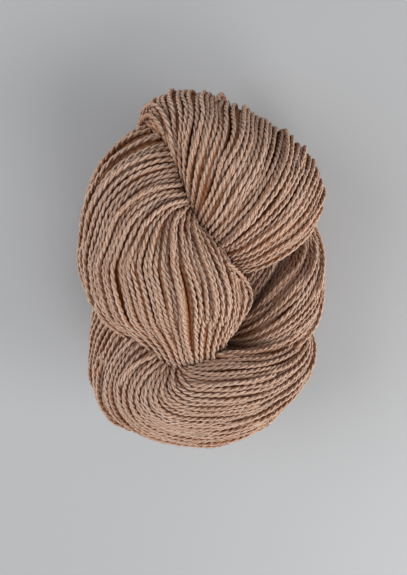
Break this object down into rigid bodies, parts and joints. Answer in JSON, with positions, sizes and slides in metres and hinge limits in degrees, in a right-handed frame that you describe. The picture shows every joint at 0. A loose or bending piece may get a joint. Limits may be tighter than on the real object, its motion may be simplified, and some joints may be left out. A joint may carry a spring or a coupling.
{
  "type": "wool yarn hank",
  "caption": "Fat twisted hank of heavy two-ply wool yarn, folded and tucked through its own loop end, lying on its back.",
  "frame": {"origin": "on the ground under the middle of the hank", "axes": "+X to the right of the hank's face, +Y along its length towards the capped end, +Z out of its face; it lies on its back"},
  "size_m": [0.132, 0.1932, 0.0962],
  "materials": {
    "yarn": "soft fuzzy two-ply wool, undyed camel beige"
  },
  "bodies": {
    "root": {"hank": "yarn"}
  },
  "joints": []
}
